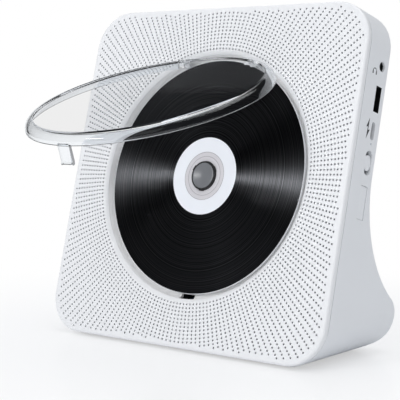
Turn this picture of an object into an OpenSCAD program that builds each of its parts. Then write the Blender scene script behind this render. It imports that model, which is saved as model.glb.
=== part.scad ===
// Compact disc player that stands on a flared heel or hangs on a wall.
// The front leans back. A clear dust lid flips up over a shallow disc well.
// World frame: Z up, front towards -Y, origin on the floor under the base pad.
// Plate frame: X across, Y up the leaning front, Z out of the front face.

/* [Body] */
// Width of the front plate
plate_w = 172.5; // [168:0.5:190]
// Height of the front plate along its own slope
plate_h = 174.4; // [170:0.1:190]
// Corner radius of the front plate
corner_r = 20; // [14:1:24]
// Lean of the front face from upright, in degrees
lean = 14.75; // [12:0.25:17]
// Height of the front plate's lower edge above the floor
front_lift = 1.7; // [1.5:0.1:3]
// Depth of the base from the plate's lower edge to the heel
base_depth = 68.2; // [66:0.1:76]
// Thickness of the upright slab from the front face to the back face
slab_t = 21.2; // [20.5:0.1:26]
// Wall of the rear housing
wall = 2.2; // [1.6:0.1:2.6]
// Radius of the hollow sweep between the back and the heel
back_r = 59; // [50:1:66]
// Height above the plate's lower edge where the hollow sweep starts
back_rise = 93.7; // [91:0.1:99]
// Turn of the hollow sweep, in degrees
back_turn = 65; // [60:1:68]
// Radius of the heel's upper round
heel_r = 10; // [8:0.5:12]
// Radius of the heel's round at the floor
heel_floor_r = 9; // [6:0.5:10]

/* [Front plate] */
// Depth of the front plate's rim
plate_t = 3; // [2.8:0.1:4]
// Thickness of the perforated face
face_t = 2; // [1.5:0.1:2.2]
// Radius of the round opening over the disc
opening_r = 62.7; // [62.5:0.1:64]
// Width of the dished lip round the opening
lip_w = 3.8; // [3:0.1:4]
// Seam between the front plate and the housing
seam = 0.1; // [0.05:0.05:0.3]

/* [Disc and well] */
// Radius of the disc
disc_r = 60; // [60:0.1:60.5]
// Thickness of the disc
disc_t = 1.2; // [1.1:0.1:1.3]
// Radius of the hole in the disc
disc_hole_r = 7.5; // [7.5:0.05:7.6]
// Depth of the disc's upper face below the front face
disc_depth = 3.3; // [3.2:0.1:3.5]
// Space under the disc down to the floor of the well
well_gap = 1.8; // [1.6:0.1:2.2]
// Thickness of the well's floor
well_t = 1.4; // [1.2:0.1:1.6]
// Radius of the hollow round between the well's wall and floor
well_fillet = 2.4; // [2:0.1:3.4]

/* [Lid] */
// Outer radius of the lid's rim
lid_r = 60.7; // [60.5:0.1:61]
// Radius of the round between the lid's face and its skirt
lid_round = 4.7; // [4:0.1:4.7]
// Height of the closed lid's face above the front plate
lid_rise = 2.7; // [2.7:0.1:3.2]
// Depth of the lid from its face to its rim
lid_depth = 5.1; // [4.9:0.1:5.1]
// Wall of the lid
lid_t = 1.4; // [1:0.1:1.5]
// Angle that the lid stands open in the rest pose, in degrees
lid_open = 57; // [40:0.5:68]
// Distance of the hinge line above the disc's centre
hinge_v = 57; // [56.9:0.05:57.1]
// Depth of the hinge line below the front face
hinge_depth = 1.84; // [1.8:0.01:1.9]
// Distance of each hinge arm from the middle
hinge_u = 20.8; // [20.6:0.1:21]
// Width of a hinge arm
arm_w = 2.8; // [2.4:0.1:2.8]
// Radius of a hinge pin
pin_r = 0.6; // [0.5:0.05:0.6]
// Width of the lid's hook
hook_w = 7; // [5:0.5:8]
// Length of the lid's hook below the rim
hook_l = 8.5; // [7:0.5:9]

/* [Drive] */
// Distance of the lens from the spindle when the sled is parked
lens_in = 24; // [23:0.5:26]
// Travel of the pickup sled
sled_travel = 34; // [30:0.5:34]
// Radius of the spindle hub
hub_r = 7.35; // [7.2:0.05:7.4]
// Radius of the spindle motor
motor_r = 12; // [10:0.5:13]
// Radius of the spindle shaft
shaft_r = 1; // [0.8:0.05:1.2]
// Radius of the main guide rod
rod_r = 1.5; // [1.2:0.1:1.6]
// Distance of each guide rod from the sled's middle line
rod_u = 21; // [20:0.5:22]
// Tooth module of the sled gears
gear_m = 0.5; // [0.45:0.05:0.5]
// Running clearance between a shaft and its bore
run = 0.05; // [0.03:0.01:0.08]

/* [Side controls] */
// Depth of the sockets and keys behind the front face
port_depth = 15.6; // [15:0.1:16]
// Middle of the headphone jack below the top edge, along the slope
jack_drop = 28.4; // [27:0.2:30]
// Radius of the headphone jack's bore
jack_r = 1.78; // [1.76:0.01:1.85]
// Place of the USB socket up the slope
usb_v = 42.9; // [42:0.1:44]
// Place of the charge socket up the slope
charge_v = 27.6; // [27:0.1:29]
// Place of the status light up the slope
light_v = 21.4; // [20.6:0.1:21.8]
// Place of the power switch up the slope
switch_v = 12.3; // [11:0.1:13]
// Length of the power switch's oval recess
recess_l = 11.8; // [11:0.1:12.5]
// Width of the power switch's oval recess
recess_w = 5.8; // [5.5:0.1:6]
// Travel of the power switch to each side
switch_travel = 1.8; // [1.5:0.1:2]
// Place of the long side key up the slope
side_key_v = -6.8; // [-9:0.1:-6]
// Length of the long side key
side_key_l = 15.6; // [13:0.1:16]
// Width of the long side key
side_key_w = 5.4; // [5:0.1:5.6]
// Gap around a key or knob
key_gap = 0.2; // [0.15:0.05:0.3]

/* [Top keys] */
// Pitch of the keys on top
key_pitch = 16; // [14:0.5:18]
// Length of a top key
key_l = 10; // [8:0.5:11]
// Width of a top key
key_w = 5; // [4:0.5:5.5]
// Travel of a key
key_travel = 0.5; // [0.4:0.1:0.6]

/* [Inside] */
// Distance of each loudspeaker's centre from the plate's side and lower edge
speaker_edge = 24.2; // [23.8:0.1:25]
// Outer radius of a loudspeaker frame
speaker_r = 18.5; // [16:0.5:19]
// Radius of a battery cell
cell_r = 9.1; // [8:0.1:9.2]
// Length of a battery cell
cell_l = 65; // [50:1:70]
// Thickness of the circuit boards
board_t = 1.6; // [1:0.1:1.6]
// Depth of the circuit boards' front face behind the front plate
board_depth = 11.2; // [11:0.1:11.4]

/* [Base and wall] */
// Thickness of the base pad below the housing
pad_h = 0.8; // [0.5:0.1:1.2]
// Width of the base pad
pad_w = 120; // [90:5:130]
// Depth of the base pad
pad_d = 44; // [36:1:48]
// Distance between the two wall keyholes
keyhole_pitch = 100; // [96:1:104]
// Radius of a keyhole's entry
keyhole_r = 4.2; // [4:0.1:4.6]
// Radius of a keyhole's slot
keyslot_r = 2.2; // [2:0.1:2.4]
// Distance of the keyholes below the top of the player
keyhole_drop = 26.35; // [24.35:0.5:28.35]

/* [Hidden] */

// Roundness of bores and shafts, and of large rings
fine = 48;
ring_n = 96;
// Slack that makes a cutter run past the face it cuts
over = 1;

// Place of the plate's centre in the world
plate_y = plate_h / 2 * sin(lean) - base_depth / 2;
plate_z = plate_h / 2 * cos(lean) + front_lift;
keyhole_z = plate_z + plate_h / 2 * cos(lean) - keyhole_drop;
// Depths in the plate frame, negative behind the front face
rim_w = -plate_t;
disc_top = -disc_depth;
disc_under = disc_top - disc_t;
well_floor = disc_under - well_gap;
well_under = well_floor - well_t;
back_w = -slab_t;
inner_back = back_w + wall;
side_u = plate_w / 2;
inner_u = side_u - wall;
top_v = plate_h / 2;
jack_v = top_v - jack_drop;
inner_top = top_v - wall;

// Turns the plate frame into the world frame
module leaning() {
  translate([0, plate_y, plate_z]) rotate([90 - lean, 0, 0]) children();
}
// World Y and Z of a point on the slope
function yz(v, w) = [plate_y + v * sin(lean) - w * cos(lean),
                     plate_z + v * cos(lean) + w * sin(lean)];
// Arc of points round c from angle a to angle b
function arc(c, r, a, b, n) = [for (i = [0:n]) let (t = a + (b - a) * i / n)
  [c[0] + r * cos(t), c[1] + r * sin(t)]];
// Outline of a rectangle with round corners, centred
function round_rect(w, h, r, n = 9) = concat(
  arc([w / 2 - r, h / 2 - r], r, 0, 90, n), arc([r - w / 2, h / 2 - r], r, 90, 180, n),
  arc([r - w / 2, r - h / 2], r, 180, 270, n), arc([w / 2 - r, r - h / 2], r, 270, 360, n));
// Straight block between two opposite corners
module block(a, b) {
  translate([min(a[0], b[0]), min(a[1], b[1]), min(a[2], b[2])])
    cube([abs(b[0] - a[0]), abs(b[1] - a[1]), abs(b[2] - a[2])]);
}
// Rod along Z between two depths
module rod(x, y, z0, z1, r, n = fine) {
  translate([x, y, min(z0, z1)]) cylinder(r = r, h = abs(z1 - z0), $fn = n);
}
// Rod along X
module rod_x(x0, x1, y, z, r, n = fine) {
  translate([min(x0, x1), y, z]) rotate([0, 90, 0]) cylinder(r = r, h = abs(x1 - x0), $fn = n);
}
// Rod along Y
module rod_y(x, y0, y1, z, r, n = fine) {
  translate([x, min(y0, y1), z]) rotate([-90, 0, 0]) cylinder(r = r, h = abs(y1 - y0), $fn = n);
}
// Slab with round corners between two depths
module slab(w, h, r, z0, z1) {
  translate([0, 0, min(z0, z1)]) linear_extrude(height = abs(z1 - z0)) polygon(round_rect(w, h, r));
}

// Side outline of the housing, inset by i, with its front line at depth f
back_start = back_rise - top_v;
sweep_c = yz(back_start, back_w - back_r);
heel_c = sweep_c + (back_r + heel_r) * [-sin(back_turn) * sin(lean) - cos(back_turn) * cos(lean),
  -sin(back_turn) * cos(lean) + cos(back_turn) * sin(lean)];
heel_a = atan2(sweep_c[1] - heel_c[1], sweep_c[0] - heel_c[0]);
heel_y = heel_c[0] + heel_r;
function floor_v(z, w) = (z - plate_z - w * sin(lean)) / cos(lean);
function side_outline(i, f) = concat(
  [yz(top_v + 3, f), yz(top_v + 3, back_w + i)],
  [for (k = [0:20]) let (t = back_turn * k / 20)
    yz(back_start - (back_r + i) * sin(t), back_w - back_r + (back_r + i) * cos(t))],
  arc(heel_c, heel_r - i, heel_a, 0, 8),
  arc([heel_y - heel_floor_r, pad_h + heel_floor_r], heel_floor_r - i, 0, -90, 8),
  [yz(floor_v(pad_h + i, f), f)]);

// Solid bounded by the side outline, the plate outline and the rounded base
clear = 0.03;
module body_form(i, f) {
  w = plate_w - 2 * i;
  r = corner_r - i;
  intersection() {
    translate([-plate_w, 0, 0]) rotate([90, 0, 90])
      linear_extrude(height = 2 * plate_w) polygon(side_outline(i, f));
    leaning() slab(w, plate_h - 2 * i, r, -2 * base_depth, 2 * over);
    translate([0, 2 * base_depth, 0]) rotate([90, 0, 0]) linear_extrude(height = 4 * base_depth)
      polygon(concat(arc([w / 2 - r, pad_h + i + r], r + clear, -90, 0, 9),
        [[w / 2 + clear, 2 * plate_h], [-w / 2 - clear, 2 * plate_h]],
        arc([r - w / 2, pad_h + i + r], r + clear, 180, 270, 9)));
  }
}

// Places that the housing, the boards and the sockets share
socket_w = -port_depth;
board_front = -board_depth;
board_back = board_front - board_t;
usb_l = 12.4;
usb_h = 4.8;
charge_l = 8.8;
charge_h = 3.2;
jack_hole_r = 2.4;
light_r = 0.6;
boss_u = side_u - 14.25;
boss_v = top_v - 15.2;
main_w = 68;
ir_u = 4 - main_w / 2;
ir_v = top_v - 16.6;
screw_r = 1.4;
boss_r = 3.2;
base_screw_x = 36;
base_screw_y = -17;
key_wc = -12.6;
key_us = [for (k = [-2:2]) k * key_pitch];
speaker_u = side_u - speaker_edge;
speaker_v = speaker_edge - top_v;

// White moulded front with the round opening and its dished lip, as one shallow tray
lip_h = face_t - 0.2;
lip_round = (lip_w * lip_w + lip_h * lip_h) / (2 * lip_h);
module front_plate() {
  rim_wall = 2.2;
  color("#f3f6f9") leaning() difference() {
    union() {
      difference() {
        slab(plate_w, plate_h, corner_r, rim_w, 0);
        slab(plate_w - 2 * rim_wall, plate_h - 2 * rim_wall, corner_r - rim_wall, rim_w - over, -face_t);
      }
      for (s = [-1, 1]) rod(s * boss_u, boss_v, 0.01 - face_t, -13.9, boss_r);
    }
    rotate_extrude($fn = 128) polygon(concat([[0, over], [0, -plate_t - over], [opening_r, -plate_t - over]],
      arc([opening_r + lip_w, -lip_round], lip_round, 90 + asin(lip_w / lip_round), 90, 8),
      [[opening_r + lip_w, over]]));
    for (s = [-1, 1]) rod(s * boss_u, boss_v, -6, -14.9, screw_r - 0.2);
  }
}

// White rear shell with its flared heel, sockets, keyholes and screw posts
module rear_housing() {
  front = rim_w - seam;
  color("#e9ebee") difference() {
    union() {
      difference() {
        body_form(0, front);
        body_form(wall, over);
      }
      leaning() for (s = [-1, 1]) rod(s * boss_u, boss_v, inner_back - 0.01, -14, boss_r);
      for (s = [-1, 1]) keyhole_boss(s * keyhole_pitch / 2);
    }
    leaning() {
      side_cuts();
      for (u = key_us) block([u - key_l / 2 - key_gap, inner_top - over, key_wc - key_w / 2 - key_gap],
        [u + key_l / 2 + key_gap, top_v + over, key_wc + key_w / 2 + key_gap]);
      for (s = [-1, 1]) {
        rod(s * boss_u, boss_v, back_w - over, -13, screw_r + 0.2);
        rod(s * boss_u, boss_v, back_w - over, back_w + 1.4, boss_r);
      }
    }
    for (s = [-1, 1]) {
      rod_y(s * keyhole_pitch / 2, 0, 2 * base_depth, keyhole_z, keyhole_r);
      rod_y(s * keyhole_pitch / 2, 0, 2 * base_depth, keyhole_z + 8, keyslot_r);
      block([s * keyhole_pitch / 2 - keyslot_r, 0, keyhole_z],
        [s * keyhole_pitch / 2 + keyslot_r, 2 * base_depth, keyhole_z + 8]);
      rod(s * base_screw_x, base_screw_y, pad_h - over, pad_h + 1.5, boss_r);
      rod(s * base_screw_x, base_screw_y, pad_h - over, 5, screw_r + 0.2);
    }
    translate([0, 0, pad_h]) slab(pad_w + 0.4, pad_d + 0.4, 6.2, -over, 0.6);
  }
}
// Thick pad round one keyhole, with an upright inner face
keyhole_face = plate_y + floor_v(keyhole_z, back_w) * sin(lean) - back_w * cos(lean) - 5.7;
module keyhole_boss(x) {
  intersection() {
    body_form(0, rim_w);
    block([x - 8, keyhole_face, keyhole_z - 7], [x + 8, base_depth, keyhole_z + 13]);
  }
}
// Openings in the right wall
module side_cuts() {
  a = inner_u - over;
  b = side_u + over;
  rod_x(a, b, jack_v, socket_w, jack_hole_r);
  block([a, usb_v - usb_l / 2, socket_w - usb_h / 2], [b, usb_v + usb_l / 2, socket_w + usb_h / 2]);
  for (s = [-1, 1]) rod_x(a, b, charge_v + s * (charge_l - charge_h) / 2, socket_w, charge_h / 2);
  block([a, charge_v - (charge_l - charge_h) / 2, socket_w - charge_h / 2],
    [b, charge_v + (charge_l - charge_h) / 2, socket_w + charge_h / 2]);
  rod_x(a, b, light_v, socket_w, light_r);
  for (s = [-1, 1]) rod_x(a, b, switch_v + s * (recess_l - recess_w) / 2, socket_w, recess_w / 2);
  block([a, switch_v - (recess_l - recess_w) / 2, socket_w - recess_w / 2],
    [b, switch_v + (recess_l - recess_w) / 2, socket_w + recess_w / 2]);
  block([a, side_key_v - side_key_l / 2 - key_gap, socket_w - side_key_w / 2 - key_gap],
    [b, side_key_v + side_key_l / 2 + key_gap, socket_w + side_key_w / 2 + key_gap]);
}

// Grey rubber pad under the base
module base_pad() {
  color("#55585c") slab(pad_w, pad_d, 6, 0, pad_h + 0.55);
}

// Dark inner board that carries the well, the loudspeakers and the mechanism
frame_top = -3.7;
frame_under = -5.2;
frame_hole_r = 66;
module inner_frame() {
  inset = wall + 0.8;
  color("#34363a") {
    difference() {
      union() {
        leaning() difference() {
          slab(plate_w - 2 * inset, plate_h - 2 * inset, corner_r - inset, frame_top, frame_under);
          rod(0, 0, frame_under - over, frame_top + over, frame_hole_r, 128);
          for (s = [-1, 1]) {
            rod(s * speaker_u, speaker_v, frame_under - over, frame_top + over, speaker_r - 2.5);
            rod(s * boss_u, boss_v, frame_under - over, frame_top + over, boss_r + 0.3);
          }
          block([-plate_w, -plate_h, frame_under - over],
            [plate_w, floor_v(pad_h + wall + 0.4, frame_under), frame_top + over]);
          rod(ir_u, ir_v, frame_under - over, frame_top + over, 2.6);
        }
        leaning() for (p = frame_dampers) damper_post(p, frame_under);
        for (s = [-1, 1]) intersection() {
          block([s * base_screw_x - boss_r, base_screw_y - 13, pad_h + wall + 0.2],
            [s * base_screw_x + boss_r, base_screw_y + boss_r, 13]);
          leaning() block([-plate_w, -plate_h, frame_under + 0.01], [plate_w, plate_h, -30]);
        }
      }
      for (s = [-1, 1]) rod(s * base_screw_x, base_screw_y, 0, 11, screw_r - 0.2);
      leaning() for (p = frame_dampers) rod(p[0], p[1], damper_low + 6, damper_low - over, 0.7);
    }
  }
}
// Post for one rubber bush, hanging from a face at depth w
module damper_post(p, w) {
  rod(p[0], p[1], w + 0.01, well_under, damper_r);
  rod(p[0], p[1], w + 0.01, damper_low, 1.5);
}

// White dish under the disc, with the hinge ears and the slot for the lens
ear_t = 1.6;
ear_r = 1.6;
ear_u = hinge_u + arm_w / 2 + 0.25 + ear_t / 2;
well_top = -face_t - 0.1;
well_r = opening_r + 0.1;
hook_in = disc_r + 0.3;
module disc_well() {
  c = [well_r - 0.2 - well_fillet, well_floor + well_fillet];
  profile = concat([[disc_hole_r + 10, well_floor]],
    arc(c, well_fillet, -90, 0, 8),
    [[well_r, well_top], [70, well_top], [70, well_top - 1.4], [well_r + 1.4, well_top - 1.4],
     [well_r + 1.4, well_floor + 2], [well_r - 1.2, well_under], [disc_hole_r + 10, well_under]]);
  color("#eceff2") leaning() difference() {
    union() {
      rotate_extrude($fn = ring_n) polygon(profile);
      for (s = [-1, 1]) hinge_ear(s * ear_u);
      for (p = well_dampers) damper_post(p, well_under);
    }
    for (s = [-1, 1]) rod_x(s * hinge_u, s * (ear_u + ear_t), hinge_v, -hinge_depth, pin_r);
    sled_frame() block([-8, 2.8 - lens_in, well_under - over], [8, -lens_in - sled_travel - 2.5, disc_under]);
    hook_slot(well_under - over, well_top + 0.01);
    for (p = well_dampers) rod(p[0], p[1], well_floor - 0.7, damper_low - over, 0.7);
  }
}
// Ear that holds one end of a hinge pin, clear of the disc and of the plate
module hinge_ear(u) {
  difference() {
    intersection() {
      union() {
        rod_x(u - ear_t / 2, u + ear_t / 2, hinge_v, -hinge_depth, ear_r);
        block([u - ear_t / 2, hinge_v - ear_r, -hinge_depth],
          [u + ear_t / 2, hinge_v + ear_r + 1, well_floor]);
      }
      union() {
        rod(0, 0, well_floor - over, 0, opening_r - 0.1, ring_n);
        rod(0, 0, well_floor - over, well_top, well_r + 0.5, ring_n);
      }
    }
    rod(0, 0, well_floor - 2 * over, over, disc_r + 0.35, ring_n);
  }
}
// Way of the lid's hook through a wall, between two depths
module hook_slot(a, b) {
  block([-hook_w / 2 - 0.7, -hook_in + 0.35, a], [hook_w / 2 + 0.7, -lid_r - 2.05, b]);
}

// Steel pins of the lid's hinge
module hinge_pins() {
  color("#b9bcc0") leaning() for (s = [-1, 1])
    rod_x(s * (hinge_u - arm_w / 2 + 0.2), s * (ear_u + ear_t / 2), hinge_v, -hinge_depth, pin_r);
}

// Holds a child drawn on the closed lid at the lid's open angle
module lid_pose() {
  leaning() translate([0, hinge_v, -hinge_depth]) rotate([-lid_open, 0, 0])
    translate([0, -hinge_v, hinge_depth]) children();
}

// Clear dish-shaped lid with its hook, and its skirt cut away at the hinge
lid_low = lid_rise - lid_depth;
module lid() {
  c = [lid_r - lid_round, lid_rise - lid_round];
  cut_u = ear_u + ear_t / 2 + 0.6;
  color([0.85, 0.9, 0.95, 0.35]) lid_pose() {
    difference() {
      rotate_extrude($fn = ring_n) polygon(concat([[0, lid_rise]], arc(c, lid_round, 90, 0, 9),
        [[lid_r, lid_low], [lid_r - lid_t, lid_low]], arc(c, lid_round - lid_t, 0, 90, 9),
        [[0, lid_rise - lid_t]]));
      block([-cut_u, hinge_v - 12, lid_low - over], [cut_u, lid_r + over, lid_rise - lid_t - 0.3]);
    }
    block([-hook_w / 2, -lid_r - 0.75, lid_low + 2], [hook_w / 2, -hook_in, lid_low - hook_l]);
    block([-hook_w / 2, -lid_r - 1.2, lid_low - hook_l], [hook_w / 2, -hook_in, lid_low - hook_l + 1.4]);
  }
}

// White arms under the lid that turn on the pins
module hinge_arms() {
  top = lid_rise - lid_t - 0.3;
  eye_r = 1.15;
  color("#eef0f3") lid_pose() for (s = [-1, 1]) difference() {
    union() {
      rod_x(s * hinge_u - arm_w / 2, s * hinge_u + arm_w / 2, hinge_v, -hinge_depth, eye_r);
      block([s * hinge_u - arm_w / 2, hinge_v - eye_r, -hinge_depth],
        [s * hinge_u + arm_w / 2, hinge_v - 0.3, top]);
      block([s * hinge_u - arm_w / 2, hinge_v - 5.4, top - 1.2],
        [s * hinge_u + arm_w / 2, hinge_v - 0.3, top]);
    }
    rod_x(s * hinge_u - arm_w, s * hinge_u + arm_w, hinge_v, -hinge_depth, pin_r + run);
  }
}

// Catch under the well that the lid's hook snaps into
module lid_catch() {
  color("#34363a") leaning() difference() {
    block([-8, -56.8, well_under], [8, -66, well_under - 5]);
    hook_slot(well_under - 5 - over, well_under + over);
  }
}

// Small switch that feels the closed lid
module lid_switch() {
  color("#202226") leaning() block([8.6, -57, well_under], [16.6, -63, well_under - 5]);
}

// Black disc with a bare printed face
module disc() {
  color("#121316") leaning() difference() {
    rod(0, 0, disc_under, disc_top, disc_r, 128);
    rod(0, 0, disc_under - over, disc_top + over, disc_hole_r);
  }
}

// Platform and hub that turn the disc
hub_top = disc_top + 0.9;
module turntable() {
  color("#1d1f22") leaning() difference() {
    union() {
      rod(0, 0, disc_under - 1.3, disc_under, 14, ring_n);
      rod(0, 0, disc_under - 0.5, hub_top, hub_r);
      rod(0, 0, well_under - 0.5, disc_under - 1, 4);
    }
    rod(0, 0, well_under - over, hub_top - 1, shaft_r);
  }
}
// Grey top of the hub
module hub_cap() {
  color("#8f9499") leaning() rod(0, 0, hub_top, hub_top + 0.4, hub_r - 0.8);
}
// Three sprung claws that hold the disc
module hub_claws() {
  color("#0f1012") leaning() for (k = [0:2]) rotate([0, 0, 120 * k + 30]) difference() {
    rod(0, 0, disc_top + 0.15, hub_top - 0.15, hub_r + 0.5);
    rod(0, 0, disc_top - over, hub_top, hub_r);
    block([-20, 1.5, -10], [20, 20, 10]);
    block([-20, -1.5, -10], [20, -20, 10]);
    block([-20, -20, -10], [0, 20, 10]);
  }
}
// Steel shaft of the spindle
module spindle_shaft() {
  color("#b9bcc0") leaning() rod(0, 0, hub_top - 1.05, chassis_low - 5.8, shaft_r);
}

// Mechanism: local frame whose -Y is the way the sled moves out
chassis_top = well_under - 0.8;
chassis_low = chassis_top - 1.2;
module sled_frame() { rotate([0, 0, -90]) children(); }
well_dampers = [[15, 25], [15, -25]];
frame_dampers = [[-68, 35.5], [-68, -35.5]];
damper_top = concat(well_dampers, frame_dampers);
damper_low = chassis_low - 3.4;
damper_r = 3;
sled_top = chassis_low - 0.4;
sled_low = sled_top - 4.6;
rod_w = sled_top - 2.5;
gear_x = 34;
gear_y = -40;
small_n = 14;
large_n = 36;
pinion_n = 12;
small_r = small_n * gear_m / 2;
large_r = large_n * gear_m / 2;
pinion_r = pinion_n * gear_m / 2;
pinion_a = 40;
pinion_x = gear_x + (large_r + pinion_r) * cos(pinion_a);
pinion_y = gear_y + (large_r + pinion_r) * sin(pinion_a);
large_top = sled_top - 0.4;
large_low = large_top - 1.2;
small_low = large_low - 1.8;

// Steel-grey plate that carries the spindle, the rods and the gears
module mech_chassis() {
  color("#9ea3a8") leaning() difference() {
    sled_frame() translate([0, 0, chassis_low]) linear_extrude(height = chassis_top - chassis_low)
      polygon([[-31, 21], [31, 21], [31, -20], [53, -20], [53, -43], [41, -43], [41, -73.2], [-41, -73.2],
        [-41, -62], [-31, -62]]);
    rod(0, 0, chassis_low - over, chassis_top + over, 5);
    sled_frame() block([-8, 5 - lens_in, chassis_low - over],
      [8, -lens_in - sled_travel - 4, chassis_top + over]);
    for (p = damper_top) rod(p[0], p[1], chassis_low - over, chassis_top + over, damper_r + 0.03);
    sled_frame() rod(gear_x, gear_y, chassis_low - over, chassis_top + over, 0.9);
  }
}
// Rubber bushes between the chassis and the well's posts
module chassis_dampers() {
  color("#3d3f43") leaning() for (p = damper_top) difference() {
    union() {
      rod(p[0], p[1], well_under, chassis_top, damper_r + 1);
      rod(p[0], p[1], chassis_top, chassis_low, damper_r);
      rod(p[0], p[1], chassis_low, damper_low, damper_r + 1);
    }
    rod(p[0], p[1], damper_low - over, well_under + over, 1.5);
  }
}
// Screws with wide heads that keep the bushes on
module damper_screws() {
  color("#c4c7cb") leaning() for (p = damper_top) {
    rod(p[0], p[1], damper_low, damper_low - 1, 3.2);
    rod(p[0], p[1], damper_low + 5, damper_low - 0.01, 0.7);
  }
}
// Flat motor of the spindle
module spindle_motor() {
  color("#b4b8bc") leaning() difference() {
    union() {
      rod(0, 0, chassis_low, chassis_low - 5.6, motor_r);
      rod(0, 0, chassis_low, chassis_low + 0.6, 4.9);
    }
    rod(0, 0, chassis_low - 7, chassis_low + over, shaft_r + run);
  }
}
// Two ground steel rods that guide the sled
rod_a = -9;
rod_b = -72.4;
module guide_rods() {
  color("#c9ccd0") leaning() sled_frame() for (s = [-1, 1])
    rod_y(s * rod_u, rod_b, rod_a, rod_w, rod_r);
}
// Clips that hold the rod ends under the chassis
module rod_holders() {
  color("#34363a") leaning() sled_frame() for (s = [-1, 1], y = [rod_a, rod_b + 4]) difference() {
    block([s * rod_u - 2.8, y, chassis_low], [s * rod_u + 2.8, y - 4, rod_w - 2.2]);
    rod_y(s * rod_u, y - 4 - over, y + over, rod_w, rod_r);
  }
}

// Block that slides on the rods under the disc
lens_y = -lens_in;
module pickup_sled() {
  color("#3a3d41") leaning() sled_frame() difference() {
    block([-rod_u - 3, lens_y + 9, sled_top], [rod_u + 3, lens_y - 9, sled_low]);
    for (s = [-1, 1]) rod_y(s * rod_u, lens_y - 9 - over, lens_y + 9 + over, rod_w, rod_r + run);
    block([-7, lens_y - 3.2, sled_top + over], [7, lens_y + 3.2, sled_top - 3.2]);
  }
}
// Holder that rises through the slot and carries the lens
module lens_holder() {
  color("#1b1c1f") leaning() sled_frame() difference() {
    block([-6, lens_y + 2.2, sled_top - 2.2], [6, lens_y - 2.2, disc_under - 1.4]);
    rod(0, lens_y, disc_under - 2.4, disc_under, 1.8);
  }
}
// Glass lens of the pickup
module pickup_lens() {
  color([0.5, 0.6, 0.85, 0.7]) leaning() sled_frame() rod(0, lens_y, disc_under - 2.4, disc_under - 1.1, 1.8);
}

// Toothed outline of a gear, its first tooth on +X
function tooth(r, m, a) = let (h = 360 * m / (2 * r))
  [for (q = [[-0.3, -1.15], [-0.12, 0.9], [0.12, 0.9], [0.3, -1.15]])
  [(r + q[1] * m) * cos(a + q[0] * h), (r + q[1] * m) * sin(a + q[0] * h)]];
module gear_form(n, m, phase) {
  polygon([for (k = [0:n - 1]) each tooth(n * m / 2, m, phase + 360 * k / n)]);
}
// Rack on the sled that meshes with the small gear
rack_x = gear_x - small_r;
module sled_rack() {
  pitch = PI * gear_m;
  teeth = ceil((sled_travel / 2 + 2) / pitch);
  mid = gear_y + pitch * round(sled_travel / 2 / pitch);
  root = rack_x - 1.15 * gear_m;
  low = small_low + 0.2;
  color("#e4e0d2") leaning() sled_frame() {
    translate([0, mid, low]) linear_extrude(height = 1.3) polygon(concat(
      [[root, (teeth + 0.9) * pitch], [root - 2.4, (teeth + 0.9) * pitch],
       [root - 2.4, -teeth * pitch], [root, -teeth * pitch]],
      [for (k = [-teeth:teeth], q = [[-1.15, -0.3], [0.9, -0.12], [0.9, 0.12], [-1.15, 0.3]])
        [rack_x + q[0] * gear_m, (k + 0.5 + q[1]) * pitch]]));
    block([rod_u + 3, lens_y - 5, low], [root - 2.4, lens_y + 5, low + 1.3]);
  }
}
// Double gear between the motor and the rack
module drive_gear() {
  color("#e4e0d2") leaning() sled_frame() difference() {
    union() {
      translate([gear_x, gear_y, large_low]) linear_extrude(height = large_top - large_low)
        gear_form(large_n, gear_m, pinion_a);
      translate([gear_x, gear_y, small_low]) linear_extrude(height = large_low - small_low)
        gear_form(small_n, gear_m, 180);
    }
    rod(gear_x, gear_y, small_low - over, large_top + over, 0.9 + run);
  }
}
// Fixed post of the double gear
module gear_post() {
  color("#c9ccd0") leaning() sled_frame() {
    rod(gear_x, gear_y, chassis_top, small_low - 0.5, 0.9);
    rod(gear_x, gear_y, small_low - 0.1, small_low - 0.6, 1.6);
  }
}
// Motor that drives the sled
motor2_top = large_low - 0.5;
module sled_motor() {
  color("#b4b8bc") leaning() sled_frame() difference() {
    union() {
      rod(pinion_x, pinion_y, motor2_top, inner_back + 1.2, 6.5);
      translate([pinion_x, pinion_y, 0]) rotate([0, 0, pinion_a]) {
        block([-2, -9, motor2_top], [2, 9, motor2_top - 1]);
        for (s = [-1, 1]) block([-2, s * 7.5, chassis_low], [2, s * 9, motor2_top - 0.5]);
      }
    }
    rod(pinion_x, pinion_y, motor2_top - 4, motor2_top + over, 0.6 + run);
  }
}
// Pinion on the sled motor's shaft
module motor_pinion() {
  gap_phase = pinion_a + 180 + 180 / pinion_n;
  color("#c8a84e") leaning() sled_frame() {
    translate([pinion_x, pinion_y, large_low]) linear_extrude(height = large_top - large_low)
      gear_form(pinion_n, gear_m, gap_phase);
    rod(pinion_x, pinion_y, motor2_top - 3, large_low, 0.6);
  }
}

// Main circuit board behind the upper part of the well
main_low = 35;
main_high = top_v - 13.2;
module main_board() {
  color("#1f6b3c") leaning() block([-main_w / 2, main_low, board_front], [main_w / 2, main_high, board_back]);
}
// Decoder, amplifier and radio chips
module board_chips() {
  color("#17181b") leaning() {
    block([-12, 42, board_back], [2, 56, board_back - 1.4]);
    block([12, 44, board_back], [22, 52, board_back - 1.4]);
    block([-28, main_high - 14, board_back], [-18, main_high - 4, board_back - 1.8]);
  }
}
// Capacitors on the main board
module board_capacitors() {
  color("#3b4a7a") leaning() {
    for (u = [8, 16, 24]) rod(u, main_high - 10, board_back, board_back - 5, 2.5);
    for (v = [38, 46]) rod(-22, v, board_back, board_back - 4, 2);
  }
}
// Narrow board that carries the sockets along the right wall
side_in = inner_u - 18.05;
side_out = inner_u - 0.9;
side_low = -22;
side_high = jack_v + 7.2;
module side_board() {
  color("#1f6b3c") leaning() block([side_in, side_low, board_front], [side_out, side_high, board_back]);
}
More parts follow.
